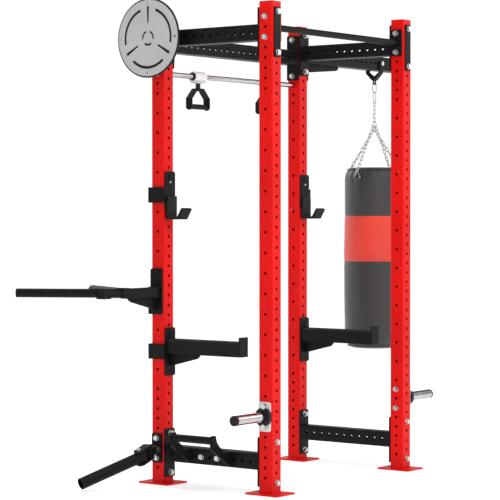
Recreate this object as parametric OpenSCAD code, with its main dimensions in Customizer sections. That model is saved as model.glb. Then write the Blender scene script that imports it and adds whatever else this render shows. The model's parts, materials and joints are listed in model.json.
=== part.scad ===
// Power cage with four perforated uprights, bolted rails and a full set of attachments.
// X runs across the cage, Y from front to back, Z up. The floor is z = 0.

/* [Cage] */
// Clear width between the left and right uprights
inner_w = 1100; // [1050:10:1200]
// Clear depth between the front and rear uprights
inner_d = 600; // [600:50:800]
// Length of the uprights above their foot plates
upright_h = 2400; // [2400:10:2440]
// Outer size of the square tubes
tube = 80; // [78:1:80]
// Wall of the square tubes
wall = 3; // [2:0.5:4]
// Outer corner radius of the square tubes
corner_r = 8; // [6:1:9]

/* [Holes] */
// Distance from one hole to the next
pitch = 50; // [50:1:50]
// Radius of every fixing hole
hole_r = 8; // [8:0.1:8.4]
// Height of the lowest holes in the front and back faces
front_hole_z = 58; // [56:1:60]
// Height of the lowest holes in the side faces
side_hole_z = 83; // [81:1:85]

/* [Plates] */
// Foot plate size across the cage
foot_w = 155; // [140:1:170]
// Foot plate size from front to back
foot_l = 195; // [180:1:210]
// Foot plate thickness
foot_t = 8; // [8:1:8]
// Height of the rail end plates
end_plate_h = 245; // [235:1:250]
// Thickness of the rail end plates
end_plate_t = 8; // [6:1:8]
// Width of the clamp plates on the outer faces
clamp_w = 50; // [40:1:60]
// Thickness of the clamp plates
clamp_t = 5; // [3:1:5]

/* [Bars] */
// Radius of the pull-up bar
pull_bar_r = 16.5; // [14:0.5:18]
// Radius of the slide bar
slide_bar_r = 14; // [14:0.5:14]
// Distance of each slider from the middle of the slide bar
slider_x = 300; // [260:10:320]

/* [Bag] */
// Length of the bag beam from the upright's outer face
beam_l = 1000; // [960:10:1100]
// Distance of the bag's axis from the middle of the cage
bag_x = 1366; // [1316:10:1416]
// Radius of the bag
bag_r = 175; // [160:1:180]
// Height of the bag
bag_h = 1060; // [1000:10:1060]
// Height of the bag's base above the floor
bag_z = 584; // [584:1:600]

/* [Attachments] */
// Radius of the target
target_r = 200; // [180:1:205]
// Length of each dip handle
dip_l = 430; // [380:10:450]
// Angle of each dip handle away from straight back
dip_splay = 29; // [25:1:30]
// Radius of each dip handle
dip_r = 22; // [19:0.5:22]
// Downward tilt of the landmine sleeve
sleeve_tilt = 19; // [15:1:19]
// Sideways turn of the landmine sleeve
sleeve_turn = 19; // [0:1:25]
// Length of the landmine sleeve past its turning pin
sleeve_l = 355; // [300:5:355]

/* [Hidden] */
$fn = 48;

half = tube / 2;
post_x = (inner_w + tube) / 2;
post_y = (inner_d + tube) / 2;
outer_x = post_x + half;
outer_y = post_y + half;
inner_x = post_x - half;
inner_y = post_y - half;
top_z = foot_t + upright_h;
running = 0.08;
through = 0.1;

// Heights of the holes: every pitch up the front and back faces, and every second
// pitch in the middle stretch of the side faces.
front_rows = 47;
side_rows = 46;
side_dense_low = 8;
side_dense_high = 38;
function front_z(j) = front_hole_z + pitch * j;
function side_z(k) = side_hole_z + pitch * k;
function side_row_used(k) = k <= side_dense_low || k >= side_dense_high || k % 2 == 0;

top_side_z = front_z(44);
top_rear_z = side_z(43);
bottom_z = front_z(2);
bolt_span = 2 * pitch;
pull_bar_z = front_z(44) + pitch / 2;
slide_bar_z = side_z(40);
horn_z = side_z(6);
landmine_z = side_z(2);
cup_pin_z = front_z(30);
spotter_pin_z = front_z(14);
dip_pin_z = side_z(20);
target_z = front_z(44);
beam_z = 2250;

// Fasteners
shank_r = hole_r - 0.3;
washer_r = 15;
washer_t = 3;
head_r = 13.8;
head_t = 10;
nut_t = 12;

// Dip station, measured from the upright's outer face
dip_arm_size = 50;
dip_arm_z = 975;
dip_arm_l = 245;
dip_inner_x = -outer_x - 269;
dip_outer_x = -outer_x - 415;
dip_root_y = post_y + 12;
dip_block = [52, 50, 50];

// The frame's origin is under the middle of the whole part.
reach_left = -dip_outer_x + dip_l * sin(dip_splay) + dip_r * cos(dip_splay);
reach_right = outer_x + beam_l;
reach_front = post_y + foot_l / 2;
reach_back = dip_root_y + dip_l * cos(dip_splay) + dip_r * sin(dip_splay);
shift_x = (reach_right - reach_left) / 2;
shift_y = (reach_back - reach_front) / 2;

module in_frame() {
    translate([-shift_x, -shift_y, 0]) children();
}

// ---------- shared shapes ----------

module rounded_rect(w, h, r) {
    square([w - 2 * r, h], center = true);
    square([w, h - 2 * r], center = true);
    for (sx = [-1, 1], sy = [-1, 1])
        translate([sx * (w / 2 - r), sy * (h / 2 - r)]) circle(r);
}

module tube_outline(size, t, r) {
    difference() {
        rounded_rect(size, size, r);
        rounded_rect(size - 2 * t, size - 2 * t, r - t);
    }
}

// A plate in the YZ plane, its inner face at x = 0, growing to +X
module plate_x(w, h, t, r) {
    rotate([90, 0, 90]) linear_extrude(t) rounded_rect(w, h, r);
}

// A rod along X or Y between two positions
module rod_x(x0, x1, r) {
    translate([x0, 0, 0]) rotate([0, 90, 0]) cylinder(r = r, h = x1 - x0);
}

module rod_y(y0, y1, r) {
    translate([0, y0, 0]) rotate([-90, 0, 0]) cylinder(r = r, h = y1 - y0);
}

// A hex bolt along +Z that clamps the stretch from z = 0 to z = grip
module hex_bolt(grip) {
    translate([0, 0, -washer_t]) cylinder(r = washer_r, h = washer_t);
    translate([0, 0, -washer_t - head_t]) cylinder(r = head_r, h = head_t, $fn = 6);
    cylinder(r = shank_r, h = grip + washer_t + nut_t + 6);
    translate([0, 0, grip]) cylinder(r = washer_r, h = washer_t);
    translate([0, 0, grip + washer_t]) cylinder(r = head_r, h = nut_t, $fn = 6);
}

// A closed loop of round wire in the XZ plane, hanging down from its top wire at z = 0
module wire_loop(length, bend_r, wire_r) {
    for (end = [0, 1])
        translate([0, 0, end == 0 ? -bend_r : bend_r - length])
            rotate([90, 0, 0])
                rotate([0, 0, end * 180])
                    rotate_extrude(angle = 180) translate([bend_r, 0]) circle(wire_r, $fn = 24);
    for (sx = [-1, 1])
        translate([sx * bend_r, 0, bend_r - length])
            cylinder(r = wire_r, h = length - 2 * bend_r, $fn = 24);
}

// ---------- uprights and rails ----------

module upright(x, y) {
    in_frame() translate([x, y, 0]) difference() {
        union() {
            translate([0, 0, foot_t]) linear_extrude(upright_h) tube_outline(tube, wall, corner_r);
            translate([0, 0, foot_t]) weld_bead();
        }
        for (j = [0 : front_rows - 1])
            translate([0, 0, front_z(j)]) rod_y(-half - 1, half + 1, hole_r);
        for (k = [0 : side_rows - 1])
            if (side_row_used(k)) translate([0, 0, side_z(k)]) rod_x(-half - 1, half + 1, hole_r);
    }
}

// The fillet weld that joins an upright to its foot plate
module weld_bead() {
    bead = 4;
    for (turn = [0 : 90 : 270])
        rotate([0, 0, turn]) translate([half - wall, 0, 0]) rotate([90, 0, 0])
            translate([0, 0, -half + corner_r])
                linear_extrude(tube - 2 * corner_r) polygon([[0, 0], [wall + bead, 0], [wall, bead], [0, bead]]);
}

module upright_front_left() {
    color("crimson") upright(-post_x, -post_y);
}

module upright_front_right() {
    color("crimson") upright(post_x, -post_y);
}

module upright_rear_left() {
    color("crimson") upright(-post_x, post_y);
}

module upright_rear_right() {
    color("crimson") upright(post_x, post_y);
}

module foot_plates() {
    color("crimson") in_frame()
        for (sx = [-1, 1], sy = [-1, 1])
            translate([sx * post_x, sy * post_y, 0]) difference() {
                linear_extrude(foot_t) rounded_rect(foot_w, foot_l, 4);
                for (hy = [-1, 1])
                    translate([0, hy * (foot_l / 2 - 24), -1]) cylinder(r = 7, h = foot_t + 2);
            }
}

module upright_caps() {
    cap_depth = 18;
    fit = tube - 2 * wall - 0.4;
    color("dimgray") in_frame()
        for (sx = [-1, 1], sy = [-1, 1])
            translate([sx * post_x, sy * post_y, top_z - cap_depth])
                linear_extrude(cap_depth) rounded_rect(fit, fit, corner_r - wall);
}

// A rail along Y between the end plates of a side frame
module side_rail(x, z) {
    in_frame() translate([x, 0, z]) difference() {
        translate([0, -inner_y + end_plate_t, 0]) rotate([-90, 0, 0])
            linear_extrude(inner_d - 2 * end_plate_t) tube_outline(tube, wall, corner_r);
        for (y = [-5 * pitch : pitch : 5 * pitch])
            translate([0, y, 0]) rod_x(-half - 1, half + 1, hole_r);
    }
}

module top_rail_left() {
    color("dimgray") side_rail(-post_x, top_side_z);
}

module top_rail_right() {
    color("dimgray") side_rail(post_x, top_side_z);
}

module bottom_rail_left() {
    color("dimgray") side_rail(-post_x, bottom_z);
}

module bottom_rail_right() {
    color("dimgray") side_rail(post_x, bottom_z);
}

module top_rail_rear() {
    color("dimgray") in_frame() translate([0, post_y, top_rear_z]) difference() {
        translate([-inner_x + end_plate_t, 0, 0]) rotate([0, 90, 0])
            linear_extrude(inner_w - 2 * end_plate_t) tube_outline(tube, wall, corner_r);
        for (x = [-10 * pitch : pitch : 10 * pitch])
            translate([x, 0, 0]) rod_y(-half - 1, half + 1, hole_r);
    }
}

// An end plate with its two bolt holes and a sight hole, its face at z = 0 of the bolt axis
module end_plate_outline(w, h, span) {
    difference() {
        rounded_rect(w, h, 6);
        for (s = [-1, 1]) translate([0, s * span]) circle(hole_r);
    }
}

module rail_end_plates() {
    w = tube - 2;
    color("dimgray") in_frame() {
        for (sx = [-1, 1], sy = [-1, 1], z = [top_side_z, bottom_z])
            translate([sx * post_x, sy * (inner_y - end_plate_t / 2) + end_plate_t / 2, z])
                rotate([90, 0, 0]) linear_extrude(end_plate_t) end_plate_outline(w, end_plate_h, bolt_span);
        for (sx = [-1, 1])
            translate([sx * (inner_x - end_plate_t / 2) - end_plate_t / 2, post_y, top_rear_z])
                rotate([90, 0, 90]) linear_extrude(end_plate_t) end_plate_outline(w, end_plate_h, bolt_span);
    }
}

module clamp_plates() {
    color("dimgray") in_frame()
        for (sx = [-1, 1], sy = [-1, 1])
            translate([sx * post_x, sy * (outer_y + clamp_t / 2) + clamp_t / 2, top_side_z])
                rotate([90, 0, 0]) linear_extrude(clamp_t) end_plate_outline(clamp_w, end_plate_h, bolt_span);
}

module rail_bolts() {
    color("silver") in_frame() {
        for (sx = [-1, 1], sy = [-1, 1], row = [-1, 1]) {
            translate([sx * post_x, sy * (outer_y + clamp_t), top_side_z + row * bolt_span])
                rotate([sy * 90, 0, 0]) hex_bolt(clamp_t + tube + end_plate_t);
            translate([sx * post_x, sy * outer_y, bottom_z + row * bolt_span])
                rotate([sy * 90, 0, 0]) hex_bolt(tube + end_plate_t);
        }
        for (row = [-1, 1]) {
            translate([-outer_x - target_plate_t, post_y, top_rear_z + row * bolt_span])
                rotate([0, 90, 0]) hex_bolt(target_plate_t + tube + end_plate_t);
            translate([outer_x + end_plate_t, post_y, top_rear_z + row * bolt_span])
                rotate([0, -90, 0]) hex_bolt(tube + 2 * end_plate_t);
        }
    }
}

// ---------- bars ----------

pull_plate_w = 66;
pull_plate_h = 140;
pull_plate_t = 8;
pull_plate_span = pitch;

module pull_up_bar() {
    color("dimgray") in_frame() translate([0, -post_y, pull_bar_z])
        rod_x(-inner_x + pull_plate_t, inner_x - pull_plate_t, pull_bar_r);
}

module pull_up_bar_plates() {
    color("dimgray") in_frame()
        for (sx = [-1, 1])
            translate([sx * (inner_x - pull_plate_t / 2) - pull_plate_t / 2, -post_y, pull_bar_z])
                rotate([90, 0, 90]) linear_extrude(pull_plate_t)
                    end_plate_outline(pull_plate_w, pull_plate_h, pull_plate_span);
}

slide_thread_l = 34;

module slide_bar() {
    color("silver") in_frame() translate([0, post_y, slide_bar_z]) difference() {
        rod_x(-inner_x, inner_x, slide_bar_r);
        for (sx = [-1, 1])
            translate([sx * (inner_x - slide_thread_l / 2), 0, 0])
                rod_x(-slide_thread_l / 2 - through, slide_thread_l / 2 + through, shank_r);
    }
}

// Every bolt that holds an attachment to the cage, with the two hinge bolts
module accessory_bolts() {
    color("silver") in_frame() {
        // pull-up bar
        for (sx = [-1, 1], row = [-1, 1])
            translate([sx * outer_x, -post_y, pull_bar_z + row * pull_plate_span])
                rotate([0, -sx * 90, 0]) hex_bolt(tube + pull_plate_t);
        // slide bar
        for (sx = [-1, 1])
            translate([sx * outer_x, post_y, slide_bar_z]) rotate([0, -sx * 90, 0]) {
                translate([0, 0, -washer_t]) cylinder(r = washer_r, h = washer_t);
                translate([0, 0, -washer_t - head_t]) cylinder(r = head_r, h = head_t, $fn = 6);
                cylinder(r = shank_r - running, h = tube + slide_thread_l - 2);
            }
        // storage horns
        for (sx = [-1, 1], row = [-1, 1])
            translate([sx * (outer_x + horn_plate_t), -post_y, horn_z + row * pitch])
                rotate([0, -sx * 90, 0]) hex_bolt(tube + horn_plate_t);
        // landmine base
        for (row = [-1, 1])
            translate([-outer_x - landmine_plate_t, post_y, landmine_z + row * pitch])
                rotate([0, 90, 0]) hex_bolt(tube + landmine_plate_t);
        // hinge bolt of the bag yoke
        translate([bag_x, post_y - yoke_outer_y, beam_z]) rotate([-90, 0, 0]) hinge_bolt(2 * yoke_outer_y);
        // hinge bolt of the landmine
        translate([landmine_axis_x, post_y - ear_outer_y, landmine_axis_z])
            rotate([-90, 0, 0]) hinge_bolt(2 * ear_outer_y);
        // foot bar
        for (sy = [-1, 1])
            translate([-outer_x - foot_rail_plate_t, sy * foot_bolt_y, bottom_z])
                rotate([0, 90, 0]) hex_bolt(tube + foot_rail_plate_t);
    }
}

// A bolt on which a part turns: its head and nut stand a hair off what they hold
module hinge_bolt(grip) {
    gap = 0.3;
    translate([0, 0, -head_t - gap]) cylinder(r = head_r, h = head_t, $fn = 6);
    translate([0, 0, -head_t - gap]) cylinder(r = hole_r - running, h = grip + nut_t + head_t + 3 * gap);
    translate([0, 0, grip + gap]) cylinder(r = head_r, h = nut_t, $fn = 6);
}

// ---------- storage horns ----------

horn_plate_w = 70;
horn_plate_h = 145;
horn_plate_t = 6;
horn_collar_r = 45;
horn_collar_t = 20;
horn_tube_r = 25;
horn_tube_l = 235;
horn_cap_t = 12;

module each_horn() {
    for (sx = [-1, 1])
        translate([sx * outer_x, -post_y, horn_z]) rotate([0, 0, sx > 0 ? 0 : 180]) children();
}

module horn_plates() {
    color("whitesmoke") in_frame() each_horn() difference() {
        plate_x(horn_plate_w, horn_plate_h, horn_plate_t, 10);
        for (row = [-1, 1]) translate([0, 0, row * pitch]) rod_x(-1, horn_plate_t + 1, hole_r);
    }
}

module horn_tubes() {
    color("silver") in_frame() each_horn() translate([horn_plate_t, 0, 0]) difference() {
        rod_x(0, horn_tube_l, horn_tube_r);
        rod_x(-1, horn_tube_l + 1, horn_tube_r - wall);
    }
}

module horn_collars() {
    color("black") in_frame() each_horn() translate([horn_plate_t, 0, 0]) difference() {
        rod_x(through, horn_collar_t, horn_collar_r);
        rod_x(-1, horn_collar_t + 1, horn_tube_r);
        for (row = [-1, 1]) translate([0, 0, row * pitch]) rod_x(-1, horn_collar_t + 1, washer_r + 1);
    }
}

module horn_caps() {
    color("black") in_frame() each_horn() translate([horn_plate_t + horn_tube_l, 0, 0]) {
        rod_x(0, horn_cap_t, horn_tube_r);
        rod_x(-20, 0, horn_tube_r - wall);
    }
}

// ---------- foot bar ----------

foot_fin_y = 125;
foot_fin_t = 8;
foot_bar_r = 19;
foot_bar_x = -outer_x - 134;
foot_bar_z = 262;
foot_rail_plate_t = 6;
foot_bolt_y = pitch;

// Side view of a fin: x runs outward from the rail's face, y is the height
module fin_outline() {
    root_top = bottom_z + half - 2;
    root_low = bottom_z - half + 5;
    reach = 134;
    difference() {
        union() {
            polygon([[0, root_low], [reach + 14, foot_bar_z - 42], [reach + 22, foot_bar_z - 6],
                     [reach + 12, foot_bar_z + 24], [60, foot_bar_z + 24], [0, root_top + 60]]);
            translate([reach, foot_bar_z]) circle(26);
        }
        translate([26, foot_bar_z + 34]) circle(88);
        translate([-1, root_top]) square([62, 200]);
    }
}

module foot_bar_fins() {
    color("dimgray") in_frame()
        for (sy = [-1, 1])
            translate([-outer_x - foot_rail_plate_t, sy * foot_fin_y + foot_fin_t / 2, 0])
                rotate([90, 0, 0]) linear_extrude(foot_fin_t) mirror([1, 0]) difference() {
                    fin_outline();
                    translate([134, foot_bar_z]) circle(foot_bar_r);
                }
}

module foot_bar() {
    color("dimgray") in_frame() {
        translate([foot_bar_x - foot_rail_plate_t, 0, foot_bar_z])
            rod_y(-foot_fin_y - foot_fin_t / 2 - 3, foot_fin_y + foot_fin_t / 2 + 3, foot_bar_r);
        translate([-outer_x - foot_rail_plate_t, 0, bottom_z]) difference() {
            plate_x(2 * foot_fin_y + 30, tube - 14, foot_rail_plate_t, 6);
            for (y = [-2 * pitch : pitch : 2 * pitch]) translate([0, y, 0]) rod_x(-1, foot_rail_plate_t + 1, hole_r);
        }
    }
}

// ---------- target ----------

target_plate_t = 6;
target_face_t = 3;
target_back_t = 6;
target_border = 8;
target_face_x = -outer_x - 76;
target_hole_r = 6;
target_hole_ring = 175;
target_arc_r = 148;
target_arc_w = 14;

// A slot that follows a circle, centred on the +Y direction of the sheet
module arc_slot(r, w, spread) {
    reach = 2 * r;
    intersection() {
        difference() {
            circle(r + w / 2);
            circle(r - w / 2);
        }
        polygon([[0, 0], [-reach * tan(spread), reach], [reach * tan(spread), reach]]);
    }
}

// The target's sheet outline, seen from outside with the slots cut through it
module target_outline(r) {
    difference() {
        circle(r, $fn = 96);
        for (turn = [0 : 90 : 270]) rotate(turn) translate([0, target_hole_ring]) circle(target_hole_r);
    }
}

module target_slots() {
    for (turn = [0, 120, 240]) {
        rotate(turn) polygon([[-4.5, 74], [4.5, 74], [8, 160], [-8, 160]]);
        rotate(turn + 60) arc_slot(target_arc_r, target_arc_w, 41);
        rotate(turn + 60) arc_slot(34, 10, 40);
    }
}

module on_target_plane(x) {
    translate([x, post_y, target_z]) rotate([90, 0, -90]) children();
}

module target_face() {
    color("lightgray") in_frame() on_target_plane(target_face_x + target_face_t)
        linear_extrude(target_face_t) difference() {
            target_outline(target_r - target_border);
            target_slots();
        }
}

module target_backing() {
    color("black") in_frame() on_target_plane(target_face_x + target_face_t + target_back_t)
        linear_extrude(target_back_t) target_outline(target_r);
}

module target_bracket() {
    back_x = target_face_x + target_face_t + target_back_t;
    neck = 26;
    color("dimgray") in_frame() translate([0, post_y, target_z]) {
        translate([-outer_x - target_plate_t, 0, top_rear_z - target_z]) difference() {
            plate_x(70, end_plate_h, target_plate_t, 6);
            for (row = [-1, 1]) translate([0, 0, row * bolt_span]) rod_x(-1, target_plate_t + 1, hole_r);
        }
        for (row = [-1, 1])
            translate([back_x, 0, row * (pitch / 2 + neck) - neck / 4])
                rotate([0, 90, 0]) translate([-neck / 4, 0, 0])
                    linear_extrude(-back_x - outer_x - target_plate_t) square([6, 60], center = true);
        translate([back_x, 0, 0]) plate_x(90, 160, 4, 6);
    }
}

// ---------- bag beam, yoke, hooks and chains ----------

yoke_strap_t = 8;
yoke_strap_w = 35;
yoke_inner_y = half + 2;
yoke_outer_y = yoke_inner_y + yoke_strap_t;
yoke_shoulder_z = beam_z - half - 12;
yoke_neck_top_z = beam_z - 86;
yoke_eye_z = beam_z - 108;
yoke_eye_r = 9;
yoke_neck_y = 3;

module bag_beam() {
    color("dimgray") in_frame() translate([0, post_y, beam_z]) difference() {
        translate([outer_x + end_plate_t, 0, 0]) rotate([0, 90, 0])
            linear_extrude(beam_l - end_plate_t) tube_outline(tube, wall, corner_r);
        for (n = [-13 : 4])
            translate([bag_x + n * pitch, 0, 0]) rod_y(-half - 1, half + 1, hole_r);
    }
}

module bag_beam_mount() {
    gusset_l = 345;
    low = beam_z - half;
    color("dimgray") in_frame() translate([outer_x, post_y, 0]) {
        translate([0, 0, top_rear_z]) rotate([90, 0, 90]) linear_extrude(end_plate_t)
            end_plate_outline(tube - 2, end_plate_h, bolt_span);
        translate([end_plate_t, 4, 0]) rotate([90, 0, 0]) linear_extrude(8)
            polygon([[0, low], [0, low - 52], [gusset_l - 20, low - 24], [gusset_l, low - 14], [gusset_l, low]]);
    }
}

module bag_yoke() {
    color("dimgray") in_frame() translate([bag_x, post_y, 0]) {
        for (sy = [-1, 1]) difference() {
            union() {
                translate([0, 0, beam_z])
                    rod_y(min(sy * yoke_inner_y, sy * yoke_outer_y), max(sy * yoke_inner_y, sy * yoke_outer_y),
                          yoke_strap_w / 2);
                translate([-yoke_strap_w / 2, 0, 0]) rotate([90, 0, 90]) linear_extrude(yoke_strap_w)
                    polygon([[sy * yoke_inner_y, beam_z], [sy * yoke_outer_y, beam_z],
                             [sy * yoke_outer_y, yoke_shoulder_z - 2], [sy * 10, yoke_neck_top_z - 10],
                             [0, yoke_neck_top_z - 10], [0, yoke_neck_top_z + 6],
                             [sy * yoke_inner_y, yoke_shoulder_z + 4]]);
            }
            translate([0, 0, beam_z]) rod_y(-yoke_outer_y - 1, yoke_outer_y + 1, hole_r);
        }
        difference() {
            translate([0, yoke_neck_y, 0]) rotate([90, 0, 0]) linear_extrude(2 * yoke_neck_y) {
                translate([-15, yoke_eye_z]) square([30, yoke_neck_top_z - yoke_eye_z]);
                translate([0, yoke_eye_z]) circle(15);
            }
            translate([0, 0, yoke_eye_z]) rod_y(-10, 10, yoke_eye_r);
        }
    }
}

hook_wire_r = 3.5;
hook_bend_r = 13;
upper_hook_l = 58;
lower_hook_l = 66;
upper_hook_z = yoke_eye_z - yoke_eye_r + hook_wire_r + 1.4;
lower_hook_z = upper_hook_z - upper_hook_l + 2 * hook_wire_r + 0.6;
chain_wire_r = 2.5;
chain_bend_r = 7.5;
chain_link_l = 29;
chain_pitch = chain_link_l - 2 * chain_wire_r - 0.5;
chain_top_z = lower_hook_z - lower_hook_l + hook_wire_r + chain_wire_r + 0.5;
chain_count = 5;
gather_r = 20;
gather_wire_r = 4;
gather_z = chain_top_z - (chain_count - 1) * chain_pitch - chain_link_l
    + chain_wire_r + gather_wire_r + 0.5 - gather_r;

// A snap hook: a wire loop with a straight gate sleeve on one side
module snap_hook(length) {
    wire_loop(length, hook_bend_r, hook_wire_r);
    translate([hook_bend_r, 0, -length * 0.62]) cylinder(r = hook_wire_r + 1.5, h = length * 0.3);
}

module snap_hook_upper() {
    color("silver") in_frame() translate([bag_x, post_y, upper_hook_z]) rotate([0, 0, 90]) snap_hook(upper_hook_l);
}

module snap_hook_lower() {
    color("silver") in_frame() translate([bag_x, post_y, lower_hook_z]) snap_hook(lower_hook_l);
}

ring_apex_r = bag_r + 3;
ring_apex_z = bag_z + bag_h - 20;
ring_bar_r = bag_r + 9;
ring_bar_z = bag_z + bag_h - 66;
ring_half_w = 22;
ring_wire_r = 2;
ring_seat = 12.5;
gather_angles = [60, 20, -20, -60];
bag_turns = [0, 90, 270, 180];
link_gap = 0.4;

// Links laid from one point to another, hooked past both of them. The last link stands in
// the plane that holds the bag's axis, and the others turn by a quarter from link to link.
module chain_run(from, to, count) {
    way = to - from;
    span = norm(way);
    start = -(gather_wire_r + chain_wire_r + link_gap);
    overlap = 2 * chain_wire_r + link_gap;
    length = (span + ring_seat - start + (count - 1) * overlap) / count;
    translate(from) rotate([0, acos(way[2] / span), atan2(way[1], way[0])])
        for (n = [0 : count - 1])
            translate([0, 0, start + n * (length - overlap) + length])
                rotate([0, 0, (count - n) % 2 == 1 ? 0 : 90]) wire_loop(length, chain_bend_r, chain_wire_r);
}

module bag_chains() {
    color("silver") in_frame() translate([bag_x, post_y, 0]) {
        for (n = [0 : chain_count - 1])
            translate([0, 0, chain_top_z - n * chain_pitch])
                rotate([0, 0, n % 2 == 0 ? 90 : 0]) wire_loop(chain_link_l, chain_bend_r, chain_wire_r);
        translate([0, 0, gather_z]) rotate([90, 0, 0])
            rotate_extrude() translate([gather_r, 0]) circle(gather_wire_r, $fn = 24);
        for (n = [0 : 3])
            chain_run([gather_r * sin(gather_angles[n]), 0, gather_z - gather_r * cos(gather_angles[n])],
                      [ring_apex_r * cos(bag_turns[n]), ring_apex_r * sin(bag_turns[n]), ring_apex_z],
                      bag_turns[n] % 180 == 0 ? 12 : 13);
    }
}

// Three-cornered rings that lean out from the chains to the bag's sides
module bag_rings() {
    drop = ring_apex_z - ring_bar_z;
    lean = atan((ring_bar_r - ring_apex_r) / drop);
    side = drop / cos(lean);
    peak = ring_wire_r / sin(atan(ring_half_w / side));
    foot = ring_half_w + ring_wire_r;
    inner_foot = ring_half_w - 1.6 * ring_wire_r;
    color("silver") in_frame() translate([bag_x, post_y, 0])
        for (turn = [0 : 90 : 270]) rotate([0, 0, turn])
            translate([ring_apex_r, 0, ring_apex_z]) rotate([0, -lean, 0]) rotate([90, 0, 90])
                translate([0, 0, -ring_wire_r]) linear_extrude(2 * ring_wire_r) difference() {
                    polygon([[0, peak], [-foot, -side - ring_wire_r], [foot, -side - ring_wire_r]]);
                    polygon([[0, -peak], [-inner_foot, ring_wire_r - side], [inner_foot, ring_wire_r - side]]);
                }
}

// Half of the bag's outline, to be turned about its axis
module bag_outline(r, h, edge) {
    square([r - edge, h]);
    translate([0, edge]) square([r, h - 2 * edge]);
    for (z = [edge, h - edge]) translate([r - edge, z]) intersection() {
        circle(edge);
        translate([-edge, -edge]) square(2 * edge);
    }
}

bag_edge = 60;
bag_skin = 4;
bag_band_low = bag_z + 509;
bag_band_h = 265;
tab_w = 40;
tab_h = 130;
tab_t = 5;

module bag_cover() {
    color("black") in_frame() translate([bag_x, post_y, bag_z]) {
        difference() {
            rotate_extrude($fn = 96) bag_outline(bag_r, bag_h, bag_edge);
            translate([0, 0, bag_skin])
                rotate_extrude($fn = 96) bag_outline(bag_r - bag_skin, bag_h - 2 * bag_skin, bag_edge - bag_skin);
        }
        intersection() {
            difference() {
                cylinder(r = bag_r + tab_t, h = bag_h, $fn = 96);
                translate([0, 0, -1]) cylinder(r = bag_r - 1, h = bag_h + 2, $fn = 96);
            }
            for (turn = [0 : 90 : 270])
                rotate([0, 0, turn]) translate([bag_r - 20, -tab_w / 2, bag_h - 71 - tab_h]) cube([40, tab_w, tab_h]);
        }
    }
}

module bag_band() {
    color("firebrick") in_frame() translate([bag_x, post_y, bag_band_low]) difference() {
        cylinder(r = bag_r + 2, h = bag_band_h, $fn = 96);
        translate([0, 0, -1]) cylinder(r = bag_r + 0.1, h = bag_band_h + 2, $fn = 96);
    }
}

module bag_filling() {
    inset = bag_skin + 0.3;
    color("tan") in_frame() translate([bag_x, post_y, bag_z + inset])
        rotate_extrude($fn = 96) bag_outline(bag_r - inset, bag_h - 2 * inset, bag_edge - inset);
}

// ---------- landmine ----------

landmine_plate_t = 8;
ear_t = 9;
ear_inner_y = 27;
ear_outer_y = ear_inner_y + ear_t;
landmine_axis_x = -outer_x - 44;
landmine_axis_z = 180;
knuckle_r = 20;
turn_arm = 100;
sleeve_r = 29;
sleeve_bore_r = 25.6;
yoke_gap = 0.6;
yoke_plate_t = 8;
turn_pin_r = 6;

module landmine_base() {
    color("dimgray") in_frame() translate([0, post_y, 0]) {
        translate([-outer_x - landmine_plate_t, 0, landmine_z]) difference() {
            plate_x(66, 150, landmine_plate_t, 12);
            for (row = [-1, 1]) translate([0, 0, row * pitch]) rod_x(-1, landmine_plate_t + 1, hole_r);
        }
        for (sy = [-1, 1]) difference() {
            translate([0, sy * (ear_inner_y + ear_t / 2) + ear_t / 2, 0]) rotate([90, 0, 0]) linear_extrude(ear_t) {
                translate([landmine_axis_x, landmine_axis_z]) circle(20);
                translate([landmine_axis_x, landmine_axis_z - 20])
                    square([-outer_x - landmine_plate_t - landmine_axis_x + through, 40]);
            }
            translate([landmine_axis_x, 0, landmine_axis_z]) rod_y(-ear_outer_y - 1, ear_outer_y + 1, hole_r);
        }
    }
}

// The yoke's own frame: origin on the tilt axis, +X along the sleeve, +Z square to it
module in_yoke() {
    in_frame() translate([landmine_axis_x, post_y, landmine_axis_z])
        rotate([0, 0, 180]) rotate([0, sleeve_tilt, 0]) children();
}

module landmine_yoke() {
    body_y = ear_inner_y - 0.5;
    cheek_z = sleeve_r + yoke_gap;
    web_end = 52;
    color("dimgray") in_yoke() difference() {
        union() {
            rod_y(-body_y, body_y, knuckle_r);
            translate([0, -body_y, -knuckle_r]) cube([web_end, 2 * body_y, 2 * knuckle_r]);
            translate([24, -body_y, -cheek_z - yoke_plate_t]) cube([web_end - 24, 2 * body_y, 2 * (cheek_z + yoke_plate_t)]);
            for (sz = [-1, 1])
                translate([0, 0, sz * (cheek_z + yoke_plate_t / 2) - yoke_plate_t / 2]) linear_extrude(yoke_plate_t) {
                    translate([24, -body_y]) square([turn_arm - 24, 2 * body_y]);
                    translate([turn_arm, 0]) circle(body_y);
                }
        }
        rod_y(-body_y - 1, body_y + 1, hole_r);
        translate([turn_arm, 0, -cheek_z - yoke_plate_t - 1])
            cylinder(r = turn_pin_r + running, h = 2 * (cheek_z + yoke_plate_t + 1));
    }
}

module landmine_turning_pin() {
    end_z = sleeve_r + yoke_gap + yoke_plate_t;
    color("silver") in_yoke() translate([turn_arm, 0, 0]) {
        translate([0, 0, -end_z - 9]) cylinder(r = turn_pin_r, h = 2 * end_z + 18);
        for (sz = [-1, 1])
            translate([0, 0, sz * (end_z + 4.5) - 4.5]) cylinder(r = 13, h = 9);
    }
}

module landmine_sleeve() {
    heel = 22;
    color("dimgray") in_yoke() translate([turn_arm, 0, 0]) rotate([0, 0, -sleeve_turn]) difference() {
        rod_x(-heel, sleeve_l, sleeve_r);
        rod_x(heel, sleeve_l + 1, sleeve_bore_r);
        translate([0, 0, -sleeve_r - 1]) cylinder(r = turn_pin_r + running, h = 2 * sleeve_r + 2);
    }
}

// ---------- sliding handles ----------

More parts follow.
